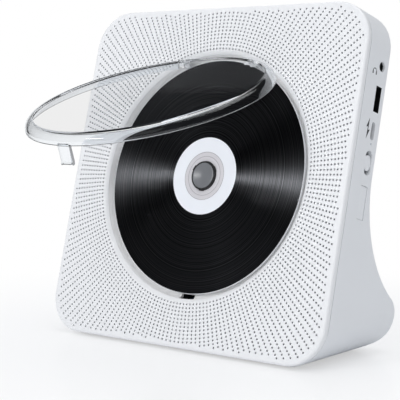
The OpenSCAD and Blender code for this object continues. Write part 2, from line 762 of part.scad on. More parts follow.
// Metal USB socket with its tongue
socket_in = inner_u - 14.05;
module usb_socket() {
  color("#a9adb1") leaning() {
    difference() {
      block([socket_in, usb_v - usb_l / 2 - 0.35, board_back],
        [inner_u - 0.1, usb_v + usb_l / 2 + 0.35, socket_w - usb_h / 2 - 0.35]);
      block([socket_in + 1, usb_v - usb_l / 2, socket_w - usb_h / 2],
        [inner_u + over, usb_v + usb_l / 2, socket_w + usb_h / 2]);
    }
    block([socket_in + 1, usb_v - 5.2, socket_w + 0.2], [inner_u - 2, usb_v + 5.2, socket_w + 1.9]);
  }
}
// Metal charge socket with its tongue
module charge_socket() {
  l = charge_l - charge_h;
  a = socket_in + 5;
  color("#a9adb1") leaning() {
    difference() {
      block([a, charge_v - charge_l / 2 - 0.3, board_back], [inner_u - 0.1, charge_v + charge_l / 2 + 0.3,
        socket_w - charge_h / 2 - 0.3]);
      for (s = [-1, 1]) rod_x(a + 1, inner_u + over, charge_v + s * l / 2, socket_w, charge_h / 2);
      block([a + 1, charge_v - l / 2, socket_w - charge_h / 2],
        [inner_u + over, charge_v + l / 2, socket_w + charge_h / 2]);
    }
    block([a + 1, charge_v - 3, socket_w - 0.35], [inner_u - 1.2, charge_v + 3, socket_w + 0.35]);
  }
}
// Headphone jack with a round collar in the wall
module headphone_jack() {
  color("#1b1c1f") leaning() difference() {
    union() {
      block([socket_in, jack_v - 3.2, board_back], [inner_u - 0.1, jack_v + 3.2, socket_w - 2.8]);
      rod_x(inner_u - 0.2, side_u - 0.9, jack_v, socket_w, jack_hole_r - 0.1);
    }
    rod_x(socket_in + 1.5, side_u + over, jack_v, socket_w, jack_r);
  }
}
// Light guide of the status light
module status_light() {
  color("#dfe9ff") leaning() {
    rod_x(inner_u - 4, side_u - 0.2, light_v, socket_w, light_r - 0.05);
    block([inner_u - 6, light_v - 0.7, board_back], [inner_u - 4, light_v + 0.7, socket_w - 0.8]);
  }
}
// Body of the three-way slide switch
switch_u = inner_u - 3.05;
module power_switch() {
  color("#26282c") leaning() difference() {
    block([switch_u - 9, switch_v - 5.5, board_back], [switch_u, switch_v + 5.5, socket_w - 2.4]);
    block([switch_u - 1.5, switch_v - 1 - switch_travel - 0.3, socket_w - 1.1],
      [switch_u + over, switch_v + 1 + switch_travel + 0.3, socket_w + 1.1]);
  }
}
// White knob in the oval recess
knob_l = 7.4;
module power_knob() {
  w = recess_w - 2 * key_gap;
  color("#f0f2f5") leaning() {
    for (s = [-1, 1]) rod_x(switch_u + 0.6, side_u - 0.5, switch_v + s * (knob_l - w) / 2, socket_w, w / 2);
    block([switch_u + 0.6, switch_v - (knob_l - w) / 2, socket_w - w / 2],
      [side_u - 0.5, switch_v + (knob_l - w) / 2, socket_w + w / 2]);
    block([switch_u - 1.1, switch_v - 1, socket_w - 0.8], [switch_u + 0.7, switch_v + 1, socket_w + 0.8]);
  }
}
// Long flush key in the right wall
module side_key() {
  color("#eceef1") leaning() {
    block([inner_u - 0.3, side_key_v - side_key_l / 2, socket_w - side_key_w / 2],
      [side_u - 0.3, side_key_v + side_key_l / 2, socket_w + side_key_w / 2]);
    block([inner_u - 1.2, side_key_v - side_key_l / 2 - 1, socket_w - side_key_w / 2],
      [inner_u - 0.2, side_key_v + side_key_l / 2 + 1, socket_w + side_key_w / 2]);
    block([switch_u + 0.2, side_key_v - 1.2, socket_w - 1.2],
      [inner_u - 1.1, side_key_v + 1.2, socket_w + 1.2]);
  }
}
// One of the five keys on top
module top_key(k) {
  u = k * key_pitch;
  color("#f0f2f5") leaning() {
    block([u - key_l / 2, inner_top - 0.4, key_wc - key_w / 2],
      [u + key_l / 2, top_v + 0.6, key_wc + key_w / 2]);
    block([u - key_l / 2 - 0.8, inner_top - 1.4, key_wc - key_w / 2 - 0.8],
      [u + key_l / 2 + 0.8, inner_top - 0.4, key_wc + key_w / 2 + 0.8]);
  }
}
module key_previous() { top_key(-1); }
module key_play() { top_key(0); }
module key_next() { top_key(1); }
module key_volume_down() { top_key(-2); }
module key_volume_up() { top_key(2); }
// Board under the top keys
key_board_v = main_high + 1.4;
module key_board() {
  color("#1f6b3c") leaning() {
    block([-2.5 * key_pitch, key_board_v, -8.6], [2.5 * key_pitch, key_board_v + board_t, -16.4]);
    for (s = [-1, 1]) block([s * 20 - 4, main_high, board_front], [s * 20 + 4, key_board_v, board_back]);
  }
}
// Press switches under every key
module key_switches() {
  gap = key_travel + 0.1;
  color("#26282c") leaning() {
    for (u = key_us) {
      block([u - 3, key_board_v + board_t, key_wc - 3], [u + 3, key_board_v + board_t + 3, key_wc + 3]);
      translate([u, 0, key_wc]) rod_y(0, key_board_v + board_t + 3, inner_top - 1.4 - gap, 0, 1.6);
    }
    block([switch_u - 7, side_key_v - 3, board_back], [switch_u - 2, side_key_v + 3, socket_w - 2.6]);
    rod_x(switch_u - 2, switch_u + 0.2 - gap, side_key_v, socket_w, 1.5);
  }
}
// Infrared eye behind the holes of the front
module ir_receiver() {
  color("#1a1416") leaning() {
    block([ir_u - 3, ir_v - 2.8, board_front], [ir_u + 3, ir_v + 2.8, frame_under - 0.4]);
    rod(ir_u, ir_v, frame_under - 0.5, frame_under + 0.8, 2.2);
  }
}

// Basket of one loudspeaker
speaker_w = -14;
cone_r = speaker_r - 5;
module speaker_frame(s) {
  color("#202226") leaning() translate([s * speaker_u, speaker_v, 0]) difference() {
    union() {
      rod(0, 0, frame_under, frame_under - 1.4, speaker_r);
      rod(0, 0, frame_under - 1.4, speaker_w, speaker_r - 4);
    }
    rod(0, 0, frame_under + over, -8, cone_r + 0.4);
    translate([0, 0, speaker_w + 1])
      cylinder(r1 = 8, r2 = cone_r + 0.4, h = -8 - speaker_w - 1 + 0.01, $fn = fine);
    rod(0, 0, speaker_w - over, speaker_w + 1.1, 6.5);
  }
}
module speaker_frame_left() { speaker_frame(-1); }
module speaker_frame_right() { speaker_frame(1); }
// Paper cone with its cap and coil
module speaker_cone(s) {
  color("#2b2d31") leaning() translate([s * speaker_u, speaker_v, 0]) {
    rotate_extrude($fn = fine) polygon([[0, -9.6], [4, -10.2], [5.2, -11.3], [cone_r, -7], [cone_r, -6.4],
      [cone_r - 0.8, -6.4], [5.6, -10.4], [4.2, -9.2], [2.2, -8.4], [0, -8.2]]);
    difference() {
      rod(0, 0, -10.6, speaker_w + 0.2, 5.2);
      rod(0, 0, -12, speaker_w - over, 4.8);
    }
  }
}
module speaker_cone_left() { speaker_cone(-1); }
module speaker_cone_right() { speaker_cone(1); }
// Magnets behind both baskets
module speaker_magnets() {
  color("#5a5d61") leaning() for (s = [-1, 1]) translate([s * speaker_u, speaker_v, 0]) difference() {
    rod(0, 0, speaker_w, speaker_w - 4.8, 11);
    difference() {
      rod(0, 0, speaker_w + over, speaker_w - 3, 5.7);
      rod(0, 0, speaker_w + over, speaker_w - 4, 4.3);
    }
  }
}

// Two round cells lying in the heel
cell_gap = 1.2;
cell_z = pad_h + wall + 1 + cell_r;
cell_y2 = heel_y - wall - 0.8 - cell_r;
cell_y1 = cell_y2 - 2 * cell_r - cell_gap;
module battery_cells() {
  color("#2f6fa8") for (y = [cell_y1, cell_y2]) rod_x(-cell_l / 2, cell_l / 2, y, cell_z, cell_r);
}
// Cradle of the cells, fixed to the floor of the heel
module battery_tray() {
  e = cell_l / 2 + 2;
  color("#34363a") difference() {
    intersection() {
      block([-e, cell_y1 - cell_r, pad_h + wall], [e, cell_y2 + cell_r, cell_z + 2]);
      body_form(wall, over);
    }
    for (y = [cell_y1, cell_y2]) rod_x(-cell_l / 2 - 0.1, cell_l / 2 + 0.1, y, cell_z, cell_r + 0.1);
    block([-cell_l / 2 + 8, cell_y1 - cell_r - over, cell_z],
      [cell_l / 2 - 8, cell_y2 + cell_r + over, cell_z + 3]);
  }
}

// Four screws that close the housing
module housing_screws() {
  color("#8d9196") {
    leaning() for (s = [-1, 1]) {
      rod(s * boss_u, boss_v, back_w + 1.4, back_w + 0.2, 2.6);
      rod(s * boss_u, boss_v, back_w + 1.3, -7, screw_r - 0.2);
    }
    for (s = [-1, 1]) {
      rod(s * base_screw_x, base_screw_y, pad_h + 0.65, pad_h + 1.45, 2.6);
      rod(s * base_screw_x, base_screw_y, pad_h + 1.4, 10, screw_r - 0.2);
    }
  }
}
// Flat cable from the main board to the side board
module link_cable() {
  color("#d9d6cc") leaning() {
    block([main_w / 2 - 8, main_high - 16, board_front], [side_in + 6, main_high - 10, board_front + 0.4]);
  }
}

front_plate();
rear_housing();
base_pad();
inner_frame();
disc_well();
hinge_pins();
lid();
hinge_arms();
lid_catch();
lid_switch();
disc();
turntable();
hub_cap();
hub_claws();
spindle_shaft();
spindle_motor();
mech_chassis();
chassis_dampers();
damper_screws();
guide_rods();
rod_holders();
pickup_sled();
lens_holder();
pickup_lens();
sled_rack();
drive_gear();
gear_post();
sled_motor();
motor_pinion();
main_board();
board_chips();
board_capacitors();
side_board();
usb_socket();
charge_socket();
headphone_jack();
status_light();
power_switch();
power_knob();
side_key();
key_previous();
key_play();
key_next();
key_volume_down();
key_volume_up();
key_board();
key_switches();
ir_receiver();
speaker_frame_left();
speaker_frame_right();
speaker_cone_left();
speaker_cone_right();
speaker_magnets();
battery_cells();
battery_tray();
housing_screws();
link_cable();
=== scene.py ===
import math

import bmesh
import bpy
import numpy as np
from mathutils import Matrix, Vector


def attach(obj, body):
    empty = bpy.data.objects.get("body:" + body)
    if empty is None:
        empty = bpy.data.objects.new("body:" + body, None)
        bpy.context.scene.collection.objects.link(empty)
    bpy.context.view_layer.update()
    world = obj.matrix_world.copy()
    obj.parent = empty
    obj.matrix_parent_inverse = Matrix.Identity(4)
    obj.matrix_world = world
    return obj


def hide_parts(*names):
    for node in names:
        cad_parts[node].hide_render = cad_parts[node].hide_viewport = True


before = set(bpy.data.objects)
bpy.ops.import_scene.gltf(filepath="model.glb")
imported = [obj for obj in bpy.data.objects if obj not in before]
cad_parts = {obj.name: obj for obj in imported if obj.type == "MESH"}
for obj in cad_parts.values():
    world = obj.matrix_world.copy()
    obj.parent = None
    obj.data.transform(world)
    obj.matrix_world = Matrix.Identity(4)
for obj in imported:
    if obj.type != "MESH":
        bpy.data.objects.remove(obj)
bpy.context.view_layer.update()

scene = bpy.context.scene
scene.view_settings.view_transform = "Standard"


# ---------------------------------------------------------------- camera
# The player is seen from its right, a little above the middle of its front.
# The lens is long, as for a product picture taken from about 62 cm away.
photo_width_px = 400.0
focal_length_px = 1230.0
camera_data = bpy.data.cameras.new("camera")
camera_data.sensor_width = 36.0
camera_data.lens = camera_data.sensor_width * focal_length_px / photo_width_px
camera_data.clip_start = 0.01
camera_data.clip_end = 20.0
camera = bpy.data.objects.new("camera", camera_data)
camera.location = (0.3853, -0.4920, 0.1262)
view_direction = Vector((-0.62372, 0.77692, -0.08585))
camera.rotation_euler = view_direction.to_track_quat("-Z", "Y").to_euler()
scene.collection.objects.link(camera)
scene.camera = camera


# ---------------------------------------------------------------- front plate
# White ABS moulding, 172.5 x 174.4 mm, leaning back. Rings of fine holes run round the disc
# opening out to a plain margin. Its edge is rounded, and it snaps onto the rear shell.
MM = 0.001
lean = math.radians(14.75)
plate_size = np.array([172.5, 174.4]) * MM
plate_corner = 20.0 * MM
base_depth = 68.2 * MM
front_lift = 1.7 * MM
plate_middle_y = plate_size[1] / 2 * math.sin(lean) - base_depth / 2
plate_middle_z = plate_size[1] / 2 * math.cos(lean) + front_lift
opening_radius = 62.7 * MM
lip_width = 3.8 * MM
lip_height = 1.8 * MM
lip_round = (lip_width**2 + lip_height**2) / (2 * lip_height)
lip_bottom = -2.0 * MM
lip_steps = 8
first_ring = 65.45 * MM
ring_pitch = 1.875 * MM
hole_radius = 0.56 * MM
hole_bottom = -1.5 * MM
ray_count = 200
ring_count = 30
ray_phase = math.radians(-0.4)
hole_margin = 2.75 * MM
edge_round = 1.2 * MM


def on_plate(u, v, w):
    """Plate frame to world: x is u, y is the middle's y plus v sin(lean) minus w cos(lean),
    and z is the middle's z plus v cos(lean) plus w sin(lean). Returns an (n, 3) array."""
    u, v, w = np.broadcast_arrays(u, v, w)
    y = plate_middle_y + v * math.sin(lean) - w * math.cos(lean)
    z = plate_middle_z + v * math.cos(lean) + w * math.sin(lean)
    return np.stack([u, y, z], -1).reshape(-1, 3)


def outline_reach(angle, inset):
    """Distance from the middle to the plate's outline, inset by a width, along each angle.
    On a side it is the half size over the cosine or sine. On a corner it is the far root of
    the line's meeting with the corner's circle."""
    half = plate_size / 2 - inset
    radius = plate_corner - inset
    cosine = np.maximum(np.abs(np.cos(angle)), 1e-9)
    sine = np.maximum(np.abs(np.sin(angle)), 1e-9)
    px, py = half - radius
    along = px * cosine + py * sine
    corner = along + np.sqrt(np.maximum(along**2 - px**2 - py**2 + radius**2, 0.0))
    side, top = half[0] / cosine, half[1] / sine
    return np.where(side * sine <= py, side, np.where(top * cosine <= px, top, corner))


def face_depth(radius):
    """Depth of the front face at a distance from the middle: zero outside the lip, and inside it
    the lip's round, minus its radius plus the root of radius squared minus the run squared."""
    run = np.clip(opening_radius + lip_width - radius, 0.0, lip_width)
    return np.sqrt(lip_round**2 - run**2) - lip_round


def grid_faces(rows, columns, closed=True):
    """Quads between neighbouring rows of points, each row holding `columns` points.
    A closed grid joins its last column to its first. Rows run first, columns second."""
    row = np.arange(rows - 1)[:, None]
    column = np.arange(columns if closed else columns - 1)[None, :]
    following = (column + 1) % columns
    corners = (row * columns + column, (row + 1) * columns + column,
               (row + 1) * columns + following, row * columns + following)
    return np.stack(np.broadcast_arrays(*corners), -1).reshape(-1, 4)


def new_piece(name, points, faces, materials, smooth=True, sharp_degrees=None, face_material=None):
    """Makes an object from an array of points and an array or list of faces, joins points that
    meet, drops faces that have no area, and turns smooth shading on."""
    mesh = bpy.data.meshes.new(name)
    mesh.from_pydata(np.asarray(points).tolist(), [], [list(map(int, f)) for f in faces])
    if face_material is not None:
        mesh.polygons.foreach_set("material_index", np.asarray(face_material, dtype=np.int32))
    work = bmesh.new()
    work.from_mesh(mesh)
    bmesh.ops.remove_doubles(work, verts=work.verts, dist=2e-6)
    bmesh.ops.dissolve_degenerate(work, edges=work.edges, dist=1e-6)
    work.to_mesh(mesh)
    work.free()
    mesh.polygons.foreach_set("use_smooth", np.full(len(mesh.polygons), smooth))
    if sharp_degrees is not None:
        mesh.set_sharp_from_angle(angle=math.radians(sharp_degrees))
    for material in materials:
        mesh.materials.append(material)
    piece = bpy.data.objects.new(name, mesh)
    scene.collection.objects.link(piece)
    return piece


def linear(hex_code):
    """sRGB hex to linear colour: each channel over 255, then (c + 0.055) / 1.055 to the power
    2.4, or c / 12.92 where c is below 0.04045."""
    channel = np.array([int(hex_code[i:i + 2], 16) for i in (1, 3, 5)]) / 255.0
    curved = np.where(channel > 0.04045, ((channel + 0.055) / 1.055) ** 2.4, channel / 12.92)
    return (*curved.tolist(), 1.0)


def add(tree, kind, settings=None, links=None):
    """Adds one node. Settings go to its sockets or properties, and links join other nodes'
    outputs to its sockets."""
    node = tree.nodes.new(kind)
    for key, value in (settings or {}).items():
        if isinstance(key, int) or key in node.inputs:
            node.inputs[key].default_value = value
        else:
            setattr(node, key, value)
    for key, source in (links or {}).items():
        tree.links.new(source, node.inputs[key])
    return node


def new_material(name):
    """Material with nodes, holding only its output. Returns the material, its node tree and a
    position in object space, which is the world in metres for every piece here."""
    material = bpy.data.materials.new(name)
    material.use_nodes = True
    tree = material.node_tree
    tree.nodes.clear()
    output = add(tree, "ShaderNodeOutputMaterial")
    position = add(tree, "ShaderNodeTexCoord").outputs["Object"]
    return material, tree, position, output.inputs["Surface"]


def moulded_plastic(name, hex_code, roughness, grain_mm=0.35, grain_depth_mm=0.004,
                    shade=0.03, ior=1.5):
    """Injection-moulded plastic. Its grain is the spark-eroded texture of the tool, drawn at
    grain_mm, and its colour and gloss drift slowly by a few per cent, as on handled parts."""
    material, tree, position, surface = new_material(name)
    grain = add(tree, "ShaderNodeTexNoise", {"Scale": 1.0 / (grain_mm * MM), "Detail": 2.0},
                {"Vector": position})
    drift = add(tree, "ShaderNodeTexNoise", {"Scale": 1.0 / (45.0 * MM), "Detail": 3.0},
                {"Vector": position})
    colour = linear(hex_code)
    darker = tuple(c * (1.0 - shade) for c in colour[:3]) + (1.0,)
    mix = add(tree, "ShaderNodeMix", {"data_type": "RGBA", 6: darker, 7: colour},
              {0: drift.outputs[0]})
    gloss = add(tree, "ShaderNodeMapRange",
                {"To Min": roughness * 0.92, "To Max": roughness * 1.08},
                {"Value": grain.outputs[0]})
    bump = add(tree, "ShaderNodeBump", {"Strength": 0.5, "Distance": grain_depth_mm * MM},
               {"Height": grain.outputs[0]})
    shader = add(tree, "ShaderNodeBsdfPrincipled", {"IOR": ior},
                 {"Base Color": mix.outputs[2], "Roughness": gloss.outputs[0],
                  "Normal": bump.outputs[0]})
    tree.links.new(shader.outputs[0], surface)
    return material


plate_white = moulded_plastic("abs_white_satin_front", "#F3F4F6", 0.42)

column_angle = ray_phase + np.arange(2 * ray_count) * math.pi / ray_count
ring_line = first_ring + (np.arange(2 * ring_count + 1) - 1) * ring_pitch / 2
flat_reach = outline_reach(column_angle, edge_round)
lattice_radius = np.minimum(ring_line[None, :], flat_reach[:, None])
lattice = on_plate(lattice_radius * np.cos(column_angle)[:, None],
                   lattice_radius * np.sin(column_angle)[:, None], face_depth(lattice_radius))
line_count = len(ring_line)

# Each cell lies between two rays and two ring lines, and holds one hole if that fits the field.
ray, ring = np.meshgrid(np.arange(ray_count), np.arange(ring_count), indexing="ij")
ray, ring = ray.ravel(), ring.ravel()
cell_angle = column_angle[2 * ray + 1]
cell_radius = ring_line[2 * ring + 1]
has_hole = cell_radius <= outline_reach(cell_angle, hole_margin)
around_radial = np.array([1, 1, 0, -1, -1, -1, 0, 1])
around_turn = np.array([0, 1, 1, 1, 0, -1, -1, -1])
holed = np.flatnonzero(has_hole)
outer = (((2 * ray[holed, None] + 1 + around_turn) % (2 * ray_count)) * line_count
         + 2 * ring[holed, None] + 1 + around_radial)
turn = np.arange(8) * math.pi / 4
hole_u = (cell_radius[holed] * np.cos(cell_angle[holed]))[:, None] + hole_radius * np.cos(
    cell_angle[holed, None] + turn)
hole_v = (cell_radius[holed] * np.sin(cell_angle[holed]))[:, None] + hole_radius * np.sin(
    cell_angle[holed, None] + turn)
hole_top = on_plate(hole_u, hole_v, face_depth(np.hypot(hole_u, hole_v)))
hole_low = on_plate(hole_u, hole_v, hole_bottom)
top_index = len(lattice) + np.arange(8 * len(holed)).reshape(-1, 8)
low_index = top_index + 8 * len(holed)
face_quads = np.stack([outer, np.roll(outer, -1, 1), np.roll(top_index, -1, 1), top_index], -1)
wall_quads = np.stack([top_index, np.roll(top_index, -1, 1), np.roll(low_index, -1, 1),
                       low_index], -1)

# The cells with no hole are plain quarters, drawn back to the outline where they pass it.
quarter_angle, quarter_line = np.meshgrid(np.arange(2 * ray_count), np.arange(line_count - 1),
                                          indexing="ij")
quarter_angle, quarter_line = quarter_angle.ravel(), quarter_line.ravel()
in_cell = (quarter_angle // 2) * ring_count + quarter_line // 2
reached = ring_line[quarter_line] >= np.maximum(flat_reach[quarter_angle],
                                                flat_reach[(quarter_angle + 1) % (2 * ray_count)])
plain = ~has_hole[in_cell] & ~reached
next_angle = (quarter_angle + 1) % (2 * ray_count)
plain_quads = np.stack([quarter_angle * line_count + quarter_line,
                        quarter_angle * line_count + quarter_line + 1,
                        next_angle * line_count + quarter_line + 1,
                        next_angle * line_count + quarter_line], -1)[plain]

# The outer edge rolls over and runs down to the seam. The opening's lip is dished, and its thin
# edge drops straight to the back of the face.
roll_inset = np.array([1.2, 0.82, 0.45, 0.18, 0.04, 0.0, 0.0, 0.15]) * MM
roll_depth = np.array([0.0, -0.05, -0.22, -0.5, -0.85, -1.2, -2.6, -3.0]) * MM
roll_reach = np.stack([outline_reach(column_angle, inset) for inset in roll_inset])
roll = on_plate(roll_reach * np.cos(column_angle), roll_reach * np.sin(column_angle),
                roll_depth[:, None])
lip_rows = np.linspace(opening_radius, ring_line[0], lip_steps)
lip_reach = np.append(opening_radius, lip_rows)[:, None]
lip_depth = np.append(lip_bottom, face_depth(lip_rows))[:, None]
lip = on_plate(lip_reach * np.cos(column_angle), lip_reach * np.sin(column_angle), lip_depth)
roll_start = len(lattice) + 16 * len(holed)
lip_start = roll_start + len(roll)
front = new_piece(
    "front_plate_perforated",
    np.vstack([lattice, hole_top, hole_low, roll, lip]),
    np.vstack([face_quads.reshape(-1, 4), wall_quads.reshape(-1, 4), plain_quads,
               grid_faces(len(roll_inset), 2 * ray_count) + roll_start,
               grid_faces(len(lip_reach), 2 * ray_count) + lip_start]),
    [plate_white], sharp_degrees=40)
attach(front, "case")
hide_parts("front_plate")


# ---------------------------------------------------------------- rear shell
# White ABS shell with its flared heel, moulded in one with the socket openings, the key
# openings and the keyholes. Its outer rear edges and its front lip are softly rounded.
shell_white = moulded_plastic("abs_white_satin_shell", "#EEF0F3", 0.45)
# Black for the walls of the socket opening in the white shell: painted shade inside the opening.
socket_opening_black_shade = moulded_plastic("black_painted_shade_socket_opening", "#101113", 0.5)
rounding_width = 1.6 * MM
back_share, lip_share, side_share = 1.0, 0.45, 0.16
sharp_turn = math.radians(32)
back_edge_w, lip_edge_w = -19.8 * MM, -3.4 * MM
heel_side_x, heel_top_z, side_start_z = 60.0 * MM, 20.5 * MM, 30.0 * MM
heel_corner_x, heel_corner_z, heel_corner_reach = 66.25 * MM, 20.8 * MM, 19.5 * MM
usb_v, usb_w = 42.9 * MM, -15.6 * MM
usb_half_length, usb_half_height = 6.7 * MM, 2.9 * MM
side_wall_x = 83.0 * MM


def to_plate(point):
    """World to plate frame for one point: v is y sin(lean) plus z cos(lean), and w is
    z sin(lean) minus y cos(lean), with y and z taken from the plate's middle."""
    y, z = point.y - plate_middle_y, point.z - plate_middle_z
    return y * math.sin(lean) + z * math.cos(lean), z * math.sin(lean) - y * math.cos(lean)


shell_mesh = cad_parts["rear_housing"].data.copy()
shell_mesh.name = "rear_shell_rounded"
shell_mesh.materials.clear()
shell_mesh.materials.append(shell_white)
shell_mesh.materials.append(socket_opening_black_shade)
work = bmesh.new()
work.from_mesh(shell_mesh)
bmesh.ops.remove_doubles(work, verts=work.verts, dist=2e-6)
bmesh.ops.dissolve_limit(work, angle_limit=math.radians(0.4), verts=work.verts, edges=work.edges)

# Only the edges on the outside are rounded: the rear ones fully, the lip and the sides less.
weight = work.edges.layers.float.new("bevel_weight_edge")
for edge in work.edges:
    if len(edge.link_faces) != 2 or edge.calc_face_angle(0.0) < sharp_turn:
        continue
    middle = (edge.verts[0].co + edge.verts[1].co) / 2
    v, w = to_plate(middle)
    reach = float(outline_reach(np.array([math.atan2(v, middle.x)]), 0.0)[0])
    on_wall = abs(math.hypot(middle.x, v) - reach) < 0.25 * MM
    on_side = abs(middle.x) > plate_size[0] / 2 - 0.3 * MM
    low_round = abs(middle.x) > heel_side_x and middle.z < heel_top_z
    low_outside = low_round and math.hypot(abs(middle.x) - heel_corner_x,
                                           middle.z - heel_corner_z) > heel_corner_reach
    if (on_wall or low_round) and w < back_edge_w:
        edge[weight] = back_share if on_side or on_wall or low_outside else 0.0
    elif on_wall and w > lip_edge_w:
        edge[weight] = lip_share
    elif on_wall and middle.z > side_start_z:
        edge[weight] = side_share

# The walls of the socket opening in the right wall are coloured black: painted shade inside the
# opening.
for face in work.faces:
    middle = face.calc_center_median()
    v, w = to_plate(middle)
    in_opening = abs(v - usb_v) < usb_half_length and abs(w - usb_w) < usb_half_height
    if in_opening and middle.x > side_wall_x and abs(face.normal.x) < 0.5:
        face.material_index = 1
work.to_mesh(shell_mesh)
work.free()
shell_mesh.polygons.foreach_set("use_smooth", np.ones(len(shell_mesh.polygons), dtype=bool))
shell_mesh.set_sharp_from_angle(angle=sharp_turn)
shell = bpy.data.objects.new("rear_shell", shell_mesh)
scene.collection.objects.link(shell)
rounding = shell.modifiers.new("rounding", "BEVEL")
rounding.limit_method = "WEIGHT"
rounding.width = rounding_width
rounding.segments = 3
rounding.harden_normals = False
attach(shell, "case")
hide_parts("rear_housing")


# ---------------------------------------------------------------- base pad
# Grey rubber sheet, die cut and glued into a shallow recess, so that the base doesn't slip.
def dress(material, *nodes):
    """Gives CAD nodes a material through their objects' slots."""
    for node in nodes:
        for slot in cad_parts[node].material_slots:
            slot.material = material


base_rubber = moulded_plastic("nitrile_rubber_matt", "#55585C", 0.85, 0.6, 0.03, 0.12, 1.52)
dress(base_rubber, "base_pad")

# ---------------------------------------------------------------- disc well
# White ABS dish under the disc, with a smooth round between its wall and its floor.
# Its pure white, lighter than the front's white, is painted light that lifts the well's shaded
# wall.
well_white = moulded_plastic("abs_white_smooth_well", "#FFFFFF", 0.36)
dress(well_white, "disc_well")


# ---------------------------------------------------------------- disc
# Polycarbonate disc, 120 mm, with a black play side whose fine spiral stretches every
# highlight across the tracks, a white print round its middle and a thin clear edge.
disc_radius = 60.0 * MM
disc_top = -3.3 * MM


def black_grooves():
    """Black disc lacquer under clear polycarbonate. The spiral runs along the UV map's first
    axis and stretches highlights across it. Fine rings of pressing change their tone."""
    material, tree, position, surface = new_material("polycarbonate_black_grooved")
    map_node = add(tree, "ShaderNodeUVMap", {"uv_map": "polar"})
    split = add(tree, "ShaderNodeSeparateXYZ", {}, {"Vector": map_node.outputs[0]})
    bands = add(tree, "ShaderNodeTexNoise", {"noise_dimensions": "1D", "Detail": 4.0,
                                             "Roughness": 0.75, "Scale": 90.0},
                {"W": split.outputs["Y"]})
    rough = add(tree, "ShaderNodeMapRange", {"From Min": 0.3, "From Max": 0.7, "To Min": 0.28,
                                             "To Max": 0.32}, {"Value": bands.outputs[0]})
    tone = add(tree, "ShaderNodeMapRange", {"From Min": 0.35, "From Max": 0.7, "To Min": 0.12,
                                            "To Max": 1.0}, {"Value": bands.outputs[0]})
    tint = add(tree, "ShaderNodeMix", {"data_type": "RGBA", 6: linear("#2A2B2E"),
                                       7: linear("#A2A4A9")}, {0: tone.outputs[0]})
    tangent = add(tree, "ShaderNodeTangent", {"direction_type": "UV_MAP", "uv_map": "polar"})
    grooves = add(tree, "ShaderNodeBsdfAnisotropic", {"Anisotropy": 0.78},
                  {"Color": tint.outputs[2], "Roughness": rough.outputs[0],
                   "Tangent": tangent.outputs[0]})
    body = add(tree, "ShaderNodeBsdfPrincipled", {"Base Color": linear("#030304"),
                                                  "Roughness": 0.06, "IOR": 1.45,
                                                  "Specular IOR Level": 0.08})
    both = add(tree, "ShaderNodeMixShader", {0: 0.17}, {1: body.outputs[0], 2: grooves.outputs[0]})
    tree.links.new(both.outputs[0], surface)
    return material


disc_black = black_grooves()
disc_print = moulded_plastic("screen_print_white", "#F3F6FC", 0.4, 0.2, 0.001, 0.02)
disc_middle = moulded_plastic("polycarbonate_frosted_middle", "#DAD8DC", 0.25, 0.5, 0.001, 0.04)
disc_ring = moulded_plastic("polycarbonate_ring_shadow", "#A9A6AC", 0.3, 0.5, 0.001, 0.04)
disc_edge = moulded_plastic("polycarbonate_clear_edge", "#E2E4E8", 0.15, 0.4, 0.001, 0.02)

# Profile from the hole's wall over the top to the edge and back below: radius, depth, finish.
disc_profile = np.array([
    [7.5, -1.15, 1], [7.5, -0.12, 1], [7.62, 0.0, 1], [9.85, 0.0, 2], [10.0, -0.03, 2],
    [10.15, 0.0, 1], [12.05, 0.0, 2], [12.2, -0.03, 2], [12.35, 0.0, 3], [19.75, 0.0, 3],
    [19.8, -0.005, 0], [24.0, -0.005, 0], [40.0, -0.005, 0], [59.75, -0.005, 0],
    [59.8, -0.01, 4], [59.9, -0.08, 4], [60.0, -0.25, 4], [60.0, -0.95, 4],
    [59.85, -1.15, 4], [59.5, -1.2, 4], [30.0, -1.2, 4], [7.62, -1.2, 1]])
disc_steps = 192
disc_turn = np.arange(disc_steps + 1) * 2 * math.pi / disc_steps
profile_radius = np.append(disc_profile[:, 0], disc_profile[0, 0])[:, None] * MM
profile_depth = np.append(disc_profile[:, 1], disc_profile[0, 1])[:, None] * MM + disc_top
disc_points = on_plate(profile_radius * np.cos(disc_turn), profile_radius * np.sin(disc_turn),
                       profile_depth)
disc_faces = grid_faces(len(profile_radius), disc_steps + 1, closed=False)
disc_mesh = bpy.data.meshes.new("disc_detailed")
disc_mesh.from_pydata(disc_points.tolist(), [], disc_faces.tolist())
uv = disc_mesh.uv_layers.new(name="polar")
loop_point = np.empty(len(disc_mesh.loops), dtype=np.int32)
disc_mesh.loops.foreach_get("vertex_index", loop_point)
polar = np.stack([(loop_point % (disc_steps + 1)) / disc_steps,
                  np.broadcast_to(profile_radius / disc_radius,
                                  (len(profile_radius), disc_steps + 1)).ravel()[loop_point]], -1)
uv.data.foreach_set("uv", polar.ravel())
finish_of_row = np.array([1, 1, 1, 2, 2, 1, 2, 2, 3, 3, 0, 0, 0, 4, 4, 4, 4, 4, 4, 4, 4, 1])
disc_mesh.polygons.foreach_set("material_index", np.repeat(finish_of_row, disc_steps))
disc_mesh.polygons.foreach_set("use_smooth", np.ones(len(disc_mesh.polygons), dtype=bool))
work = bmesh.new()
work.from_mesh(disc_mesh)
bmesh.ops.remove_doubles(work, verts=work.verts, dist=2e-6)
work.to_mesh(disc_mesh)
work.free()
disc_mesh.set_sharp_from_angle(angle=math.radians(35))
for material in (disc_black, disc_middle, disc_ring, disc_print, disc_edge):
    disc_mesh.materials.append(material)
disc = bpy.data.objects.new("disc_printed", disc_mesh)
scene.collection.objects.link(disc)
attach(disc, "spinner")
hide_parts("disc")


